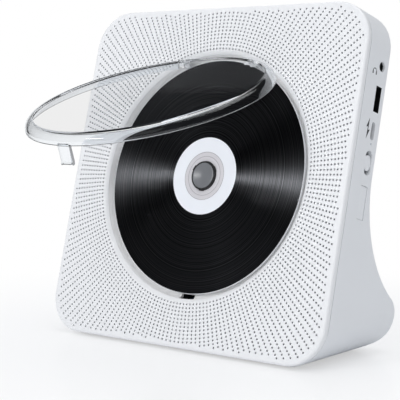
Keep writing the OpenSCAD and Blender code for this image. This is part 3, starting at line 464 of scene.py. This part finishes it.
# ---------------------------------------------------------------- hub
# Grey moulded cap on a black acetal hub. Fine ribs round the hub guide the disc, and three
# sprung claws hold it.
hub_black = moulded_plastic("acetal_black", "#141517", 0.35)
hub_grey = moulded_plastic("abs_grey_smooth", "#7A7C80", 0.3, 0.4, 0.002)
dress(hub_black, "turntable", "hub_claws")
cap_profile = np.array([[0.0, -0.3], [2.2, -0.3], [2.6, -0.18], [5.3, -0.16], [5.6, 0.0],
                        [6.1, 0.0], [6.4, -0.08], [6.5, -0.25], [6.5, -0.4], [0.0, -0.4]]) * MM
cap_top = -2.0 * MM
cap_steps = 64
cap_turn = np.arange(cap_steps) * 2 * math.pi / cap_steps
cap = new_piece("hub_cap_dished", on_plate(cap_profile[:, :1] * np.cos(cap_turn),
                                           cap_profile[:, :1] * np.sin(cap_turn),
                                           cap_profile[:, 1:] + cap_top),
                grid_faces(len(cap_profile), cap_steps)[:, ::-1], [hub_grey], sharp_degrees=35)
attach(cap, "spinner")
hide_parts("hub_cap")

rib_count = 24
rib_profile = np.array([[7.34, -2.5], [7.34, -3.25], [7.46, -3.25], [7.46, -2.7]]) * MM
rib_half_turn = 0.07
rib_turn = (np.arange(rib_count)[:, None] * 2 * math.pi / rib_count
            + np.array([-rib_half_turn, rib_half_turn])[None, :])
rib_points = on_plate(rib_profile[None, None, :, 0] * np.cos(rib_turn)[..., None],
                      rib_profile[None, None, :, 0] * np.sin(rib_turn)[..., None],
                      rib_profile[None, None, :, 1])
box_faces = np.array([[0, 1, 2, 3], [7, 6, 5, 4], [0, 3, 7, 4], [1, 5, 6, 2], [3, 2, 6, 7],
                      [0, 4, 5, 1]])
ribs = new_piece("hub_ribs", rib_points,
                 (box_faces[None] + 8 * np.arange(rib_count)[:, None, None]).reshape(-1, 4),
                 [hub_black], smooth=False)
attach(ribs, "spinner")


# ---------------------------------------------------------------- lid
# Clear acrylic dish, moulded in one with its hook. Its thick rolled rim bends the light, so
# the rim draws itself as dark and bright lines.
lid_open = math.radians(57.0)
hinge_v, hinge_w = 57.0 * MM, -1.84 * MM
cut_half_width = 24.65 * MM


def on_open_lid(u, v, w):
    """Closed lid to open lid: turns each point about the hinge line by the rest angle, with
    v' = v cos + w sin and w' = w cos - v sin taken from the line, then places it on the plate."""
    v, w = v - hinge_v, w - hinge_w
    return on_plate(u, hinge_v + v * math.cos(lid_open) + w * math.sin(lid_open),
                    hinge_w - v * math.sin(lid_open) + w * math.cos(lid_open))


def clear_acrylic(name, hex_code, transmission, alpha, ior):
    """Polished cast acrylic with faint moulding waves about 8 mm long. The thick rim bends light.
    The thin face has a low alpha that lets the view pass straight through and cuts its
    reflections, and the dark colour given to it paints a faint grey shade over what lies behind."""
    material, tree, position, surface = new_material(name)
    wave = add(tree, "ShaderNodeTexNoise", {"Scale": 1.0 / (8.0 * MM), "Detail": 1.0},
               {"Vector": position})
    bump = add(tree, "ShaderNodeBump", {"Strength": 0.25, "Distance": 0.01 * MM},
               {"Height": wave.outputs[0]})
    shader = add(tree, "ShaderNodeBsdfPrincipled",
                 {"Base Color": linear(hex_code), "Roughness": 0.0, "IOR": ior,
                  "Transmission Weight": transmission, "Alpha": alpha},
                 {"Normal": bump.outputs[0]})
    tree.links.new(shader.outputs[0], surface)
    return material


lid_clear = clear_acrylic("acrylic_clear_polished", "#F4F7FA", 1.0, 1.0, 1.49)
# The face's dark colour at low alpha is a painted faint grey shade over what is seen through the
# lid.
lid_face = clear_acrylic("acrylic_clear_face_painted_grey", "#1E2023", 0.0, 0.08, 1.25)
lid_steps = 360
lid_quarter = np.radians(np.linspace(90, 0, 13))[:, None]
round_radius, round_level = 56.0, -2.0
outer_round, inner_round = 4.7, 3.3
lid_outer = np.vstack([[[0.0, 2.7], [30.0, 2.7], [52.0, 2.7]],
                       np.hstack([round_radius + outer_round * np.cos(lid_quarter),
                                  round_level + outer_round * np.sin(lid_quarter)]),
                       [[60.7, -2.25], [60.62, -2.36], [60.5, -2.4]]]) * MM
lid_inner = np.vstack([[[59.5, -2.4], [59.38, -2.36], [59.3, -2.25]],
                       np.hstack([round_radius + inner_round * np.cos(lid_quarter[::-1]),
                                  round_level + inner_round * np.sin(lid_quarter[::-1])]),
                       [[52.0, 1.3], [30.0, 1.3], [0.0, 1.3]]]) * MM
lid_profile = np.vstack([lid_outer, lid_inner])
lid_turn = np.arange(lid_steps) * 2 * math.pi / lid_steps
lid_r = np.broadcast_to(lid_profile[:, :1], (len(lid_profile), lid_steps)).copy()
lid_w = np.broadcast_to(lid_profile[:, 1:], (len(lid_profile), lid_steps)).copy()
# At the hinge the skirt is cut away up to the underside of the face.
cut_level = 1.0 * MM
skirt_radius = 60.0 * MM
cut = (np.sin(lid_turn) > 0) & (np.abs(skirt_radius * np.cos(lid_turn)) < cut_half_width)
outer_cut_radius = 59.62 * MM
inner_cut_radius = 57.37 * MM
is_outer = np.arange(len(lid_profile))[:, None] < len(lid_outer)
below = cut[None, :] & (lid_w < cut_level)
lid_r = np.where(below, np.where(is_outer, outer_cut_radius, inner_cut_radius), lid_r)
lid_w = np.where(below, cut_level, lid_w)
flat_limit = 56.5 * MM
flat = (lid_profile[:, 0] < flat_limit).astype(int)
row_is_face = flat[:-1] * flat[1:]
lid_piece = new_piece("lid_dish", on_open_lid(lid_r * np.cos(lid_turn), lid_r * np.sin(lid_turn),
                                              lid_w),
                      grid_faces(len(lid_profile), lid_steps), [lid_clear, lid_face],
                      sharp_degrees=50, face_material=np.repeat(row_is_face, lid_steps))
# Clear acrylic passes the light of the lamps, so the lid and its hook draw no shadow.
lid_piece.visible_shadow = False
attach(lid_piece, "lid")
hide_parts("lid")

# The hook hangs below the rim at the far side: a thin tongue with a barb at its tip.
hook_width = 7.0 * MM
hook_side = np.array([[-61.4, -1.2], [-60.35, -1.2], [-60.35, -9.6], [-60.6, -10.6],
                      [-60.95, -10.85], [-61.6, -10.85], [-61.85, -10.5], [-61.85, -9.9],
                      [-61.4, -9.5]]) * MM
hook_rows = 7
hook_u = np.linspace(-0.5, 0.5, hook_rows)[:, None] * hook_width
hook_points = on_open_lid(hook_u, hook_side[None, :, 0], hook_side[None, :, 1])
hook_faces = [list(face) for face in grid_faces(hook_rows, len(hook_side))]
hook_faces += [list(range(len(hook_side)))[::-1],
               list(range((hook_rows - 1) * len(hook_side), hook_rows * len(hook_side)))]
hook = new_piece("lid_hook", hook_points, hook_faces, [lid_clear], sharp_degrees=50)
softened = hook.modifiers.new("softened", "BEVEL")
softened.width = 0.25 * MM
softened.segments = 2
softened.limit_method = "ANGLE"
hook.visible_shadow = False
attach(hook, "lid")

# ---------------------------------------------------------------- hinge
# Two white ABS arms, welded under the lid, turn on ground steel pins in the well's ears.
arm_white = moulded_plastic("abs_white_satin_arm", "#F0F2F5", 0.4)
dress(arm_white, "hinge_arms")


def drawn_steel(name, hex_code, roughness, line_mm=0.12):
    """Drawn or ground steel: fine scratches line_mm apart run round or along it and widen its
    highlights."""
    material, tree, position, surface = new_material(name)
    lines = add(tree, "ShaderNodeTexNoise", {"Scale": 1.0 / (line_mm * MM), "Detail": 3.0},
                {"Vector": position})
    gloss = add(tree, "ShaderNodeMapRange", {"To Min": roughness * 0.7, "To Max": roughness * 1.3},
                {"Value": lines.outputs[0]})
    bump = add(tree, "ShaderNodeBump", {"Strength": 0.2, "Distance": 0.002 * MM},
               {"Height": lines.outputs[0]})
    shader = add(tree, "ShaderNodeBsdfPrincipled",
                 {"Base Color": linear(hex_code), "Metallic": 1.0},
                 {"Roughness": gloss.outputs[0], "Normal": bump.outputs[0]})
    tree.links.new(shader.outputs[0], surface)
    return material


ground_steel = drawn_steel("steel_ground", "#C4C6C9", 0.22)
dress(ground_steel, "hinge_pins")
black_abs = moulded_plastic("abs_black_structural", "#2B2D30", 0.6)
dress(black_abs, "inner_frame", "lid_catch")

# ---------------------------------------------------------------- drive
# The drive hangs on four soft bushes: a steel plate with the disc motor, two ground rods, the
# sled with its lens, and the gears that move it.
zinc_steel = drawn_steel("steel_zinc_plated_sheet", "#A9ADB0", 0.38, 0.8)
motor_can = drawn_steel("steel_deep_drawn_can", "#B6B9BC", 0.28, 0.3)
soft_rubber = moulded_plastic("butyl_rubber_soft", "#34363A", 0.8, 0.5, 0.02, 0.1)
glass_filled = moulded_plastic("nylon_glass_filled", "#3A3D41", 0.55, 0.25, 0.01, 0.1)
natural_acetal = moulded_plastic("acetal_natural", "#E4E0D2", 0.4, 0.5, 0.003)
turned_brass = drawn_steel("brass_turned", "#C9AE62", 0.25, 0.15)
dress(zinc_steel, "mech_chassis")
dress(motor_can, "spindle_motor", "sled_motor")
dress(soft_rubber, "chassis_dampers")
dress(ground_steel, "spindle_shaft", "guide_rods", "gear_post", "damper_screws")
dress(black_abs, "rod_holders")
dress(glass_filled, "pickup_sled")
dress(hub_black, "lens_holder")
dress(natural_acetal, "sled_rack", "drive_gear")
dress(turned_brass, "motor_pinion")


def coated_lens():
    """Small glass lens with a thin violet coating that drifts a little in tone."""
    material, tree, position, surface = new_material("glass_lens_coated")
    drift = add(tree, "ShaderNodeTexNoise", {"Scale": 1.0 / (2.0 * MM)}, {"Vector": position})
    tint = add(tree, "ShaderNodeMix", {"data_type": "RGBA", 6: linear("#9AA6E0"),
                                       7: linear("#B9A4E4")}, {0: drift.outputs[0]})
    shader = add(tree, "ShaderNodeBsdfPrincipled",
                 {"Roughness": 0.02, "IOR": 1.52, "Transmission Weight": 0.8},
                 {"Base Color": tint.outputs[2]})
    tree.links.new(shader.outputs[0], surface)
    return material


dress(coated_lens(), "pickup_lens")


# ---------------------------------------------------------------- boards
# Glass-epoxy boards with green solder mask, black moulded chips and sleeved cans.
def solder_mask():
    """Green solder mask over woven glass: the weave shows faintly at 1 mm."""
    material, tree, position, surface = new_material("glass_epoxy_green_mask")
    weave = add(tree, "ShaderNodeTexVoronoi", {"Scale": 1.0 / (1.0 * MM)}, {"Vector": position})
    tint = add(tree, "ShaderNodeMix", {"data_type": "RGBA", 6: linear("#1C5E35"),
                                       7: linear("#247544")}, {0: weave.outputs[0]})
    shader = add(tree, "ShaderNodeBsdfPrincipled", {"Roughness": 0.35, "IOR": 1.55},
                 {"Base Color": tint.outputs[2]})
    tree.links.new(shader.outputs[0], surface)
    return material


board_green = solder_mask()
chip_black = moulded_plastic("epoxy_black_moulded", "#1A1B1D", 0.5)
can_sleeve = moulded_plastic("pvc_sleeve_blue", "#3B4A7A", 0.35)
dress(board_green, "main_board", "side_board", "key_board")
dress(chip_black, "board_chips", "key_switches", "lid_switch", "power_switch", "ir_receiver")
dress(can_sleeve, "board_capacitors")
dress(moulded_plastic("polyester_film_cable", "#D9D6CC", 0.4), "link_cable")

# ---------------------------------------------------------------- sockets
# Three black nylon sockets on the side board. The two flat ones have their tongue in one
# moulding with the shell, and the headphone jack is a plain barrel.
jack_black = moulded_plastic("nylon_black_jack", "#17181A", 0.4)
dress(jack_black, "usb_socket", "charge_socket", "headphone_jack")
dress(moulded_plastic("polycarbonate_light_guide", "#C9CED6", 0.2), "status_light")

# ---------------------------------------------------------------- controls
# White ABS knob and keys, the same moulding grade as the shell.
control_white = moulded_plastic("abs_white_satin_controls", "#F0F2F5", 0.4)
dress(control_white, "power_knob", "side_key", "key_previous", "key_play", "key_next",
      "key_volume_down", "key_volume_up")


# ---------------------------------------------------------------- printed marks
# Dark pad prints on the right wall, beside two sockets: a lightning bolt and headphones.
mark_grey = moulded_plastic("pad_print_grey", "#3E4045", 0.5, 0.2, 0.0005)
mark_dark = moulded_plastic("pad_print_black", "#2A2B2E", 0.5, 0.2, 0.0005)
wall_x = plate_size[0] / 2
print_rise = 0.03 * MM


def side_print(name, outline, material):
    """Prints a flat outline, given as v and w in millimetres, on the right wall: a face just
    proud of the wall and a rim down to it."""
    v, w = np.asarray(outline).T * MM
    count = len(v)
    points = np.vstack([on_plate(wall_x + print_rise, v, w), on_plate(wall_x, v, w)])
    rim = [[i, (i + 1) % count, (i + 1) % count + count, i + count] for i in range(count)]
    piece = new_piece(name, points, [list(range(count))] + rim, [material], smooth=False)
    work = bmesh.new()
    work.from_mesh(piece.data)
    bmesh.ops.recalc_face_normals(work, faces=work.faces)
    work.to_mesh(piece.data)
    work.free()
    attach(piece, "case")


bolt_middle = np.array([28.1, -11.0])
bolt_scale = np.array([1.4, 1.3])
bolt = np.array([[3.6, -0.35], [0.3, 1.25], [0.55, 0.2], [-3.6, 0.5], [-0.3, -1.25],
                 [-0.55, -0.2]])
side_print("mark_lightning", bolt * bolt_scale + bolt_middle, mark_dark)
phones_middle = np.array([55.2, -9.7])
cup_spread = 1.5
band_turn = np.radians(np.linspace(0, 180, 19))
band = np.vstack([np.stack([np.sin(band_turn) * 1.6, np.cos(band_turn) * 1.75], -1),
                  np.stack([np.sin(band_turn) * 1.25, np.cos(band_turn) * 1.4], -1)[::-1]])
side_print("mark_headband", band + phones_middle, mark_grey)
for side in (-1, 1):
    cup = np.array([[0.3, -0.4], [0.3, 0.4], [-1.3, 0.4], [-1.3, -0.4]])
    side_print("mark_ear_cup_" + ("rear" if side < 0 else "front"),
               cup + phones_middle + np.array([0.0, side * cup_spread]), mark_grey)

# ---------------------------------------------------------------- loudspeakers
# Two small drivers behind the lower corners: painted steel baskets, coated paper cones and
# ferrite magnets.
basket_black = moulded_plastic("steel_basket_painted", "#202226", 0.5)
cone_paper = moulded_plastic("paper_cone_coated", "#2B2D31", 0.75, 0.9, 0.05, 0.2)
magnet_grey = drawn_steel("ferrite_magnet_plated", "#6A6D71", 0.45, 0.6)
dress(basket_black, "speaker_frame_left", "speaker_frame_right")
dress(cone_paper, "speaker_cone_left", "speaker_cone_right")
dress(magnet_grey, "speaker_magnets")

# ---------------------------------------------------------------- battery
# Two steel cells in blue film, lying in a black cradle in the heel.
dress(moulded_plastic("pvc_film_blue", "#2F6FA8", 0.3), "battery_cells")
dress(black_abs, "battery_tray")
dress(ground_steel, "housing_screws")


# ---------------------------------------------------------------- floor and light
# Pale seamless floor in a bright studio. A long lamp at the front left draws the streaks on the
# disc, and two softboxes fill in. The far floor and the background look white.
def studio_floor():
    """Pale satin sheet. What the camera sees of it is lifted towards white, more so far from
    the player, and its shadows stay."""
    material, tree, position, surface = new_material("studio_floor_pale")
    away = add(tree, "ShaderNodeVectorMath", {"operation": "LENGTH"}, {0: position})
    fade = add(tree, "ShaderNodeMapRange", {"From Min": 0.07, "From Max": 0.3, "To Min": 0.5,
                                            "To Max": 1.0, "interpolation_type": "SMOOTHSTEP"},
               {"Value": away.outputs["Value"]})
    cloud = add(tree, "ShaderNodeTexNoise", {"Scale": 3.0}, {"Vector": position})
    tone = add(tree, "ShaderNodeMix", {"data_type": "RGBA", 6: linear("#F3F4F6"),
                                       7: linear("#F6F7F9")}, {0: cloud.outputs[0]})
    shader = add(tree, "ShaderNodeBsdfPrincipled", {"Roughness": 0.22, "IOR": 1.35},
                 {"Base Color": tone.outputs[2]})
    white = add(tree, "ShaderNodeEmission", {"Color": (1, 1, 1, 1), "Strength": 1.0})
    path = add(tree, "ShaderNodeLightPath")
    seen = add(tree, "ShaderNodeMath", {"operation": "MAXIMUM"},
               {0: path.outputs["Is Camera Ray"], 1: path.outputs["Is Transmission Ray"]})
    amount = add(tree, "ShaderNodeMath", {"operation": "MULTIPLY"},
                 {0: seen.outputs[0], 1: fade.outputs[0]})
    both = add(tree, "ShaderNodeMixShader", {}, {0: amount.outputs[0], 1: shader.outputs[0],
                                                 2: white.outputs[0]})
    tree.links.new(both.outputs[0], surface)
    return material


floor_size = 6.0
floor_line = np.linspace(-floor_size / 2, floor_size / 2, 9)
floor_x, floor_y = np.meshgrid(floor_line, floor_line, indexing="ij")
floor_points = np.stack([floor_x, floor_y, np.zeros_like(floor_x)], -1).reshape(-1, 3)
floor = new_piece("studio_floor", floor_points, grid_faces(9, 9, closed=False), [studio_floor()])

world = bpy.data.worlds.new("studio_world")
scene.world = world
world.use_nodes = True
world.node_tree.nodes.clear()
# Diffuse light comes from all round. Gloss sees a white backdrop behind the player and dark
# flags elsewhere, and the view through the lid is dark where the rim bends it far aside.
sky_way = add(world.node_tree, "ShaderNodeTexCoord").outputs["Generated"]
ahead = add(world.node_tree, "ShaderNodeVectorMath",
            {"operation": "DOT_PRODUCT", 1: tuple(view_direction)}, {0: sky_way})
backdrop = add(world.node_tree, "ShaderNodeMapRange",
               {"From Min": 0.8, "From Max": 0.93, "To Min": 0.03, "To Max": 0.95,
                "interpolation_type": "SMOOTHSTEP"}, {"Value": ahead.outputs["Value"]})
cone = add(world.node_tree, "ShaderNodeMapRange",
           {"From Min": 0.84, "From Max": 0.96, "To Min": 0.03, "To Max": 1.0,
            "interpolation_type": "SMOOTHSTEP"}, {"Value": ahead.outputs["Value"]})
world_path = add(world.node_tree, "ShaderNodeLightPath")
world_light = add(world.node_tree, "ShaderNodeBackground",
                  {"Color": linear("#F6F8FB"), "Strength": 0.71})
world_gloss = add(world.node_tree, "ShaderNodeBackground", {"Color": linear("#F6F8FB")},
                  {"Strength": backdrop.outputs[0]})
world_through = add(world.node_tree, "ShaderNodeBackground", {"Color": (1, 1, 1, 1)},
                    {"Strength": cone.outputs[0]})
world_white = add(world.node_tree, "ShaderNodeBackground",
                  {"Color": (1, 1, 1, 1), "Strength": 1.0})
world_lit = add(world.node_tree, "ShaderNodeMixShader", {},
                {0: world_path.outputs["Is Glossy Ray"], 1: world_light.outputs[0],
                 2: world_gloss.outputs[0]})
world_clear = add(world.node_tree, "ShaderNodeMixShader", {},
                  {0: world_path.outputs["Is Transmission Ray"], 1: world_lit.outputs[0],
                   2: world_through.outputs[0]})
world_mix = add(world.node_tree, "ShaderNodeMixShader", {},
                {0: world_path.outputs["Is Camera Ray"], 1: world_clear.outputs[0],
                 2: world_white.outputs[0]})
add(world.node_tree, "ShaderNodeOutputWorld", {}, {"Surface": world_mix.outputs[0]})


def softbox(name, location, target, width, height, watts):
    """Rectangular area lamp that faces a target."""
    lamp = bpy.data.lights.new(name, "AREA")
    lamp.shape = "RECTANGLE"
    lamp.size, lamp.size_y = width, height
    lamp.energy = watts
    holder = bpy.data.objects.new(name, lamp)
    holder.location = location
    holder.rotation_euler = (Vector(target) - Vector(location)).to_track_quat("-Z", "Y").to_euler()
    scene.collection.objects.link(holder)


softbox("lamp_front_left", (-0.476, -1.515, 0.72), (0, 0, 0.09), 0.4, 0.07, 6.2)
softbox("softbox_front", (0.45, -1.45, 0.75), (0, 0, 0.09), 1.2, 0.8, 1.2)
softbox("softbox_top", (0.1, 0.1, 1.4), (0, 0, 0.05), 1.2, 1.2, 6.0)
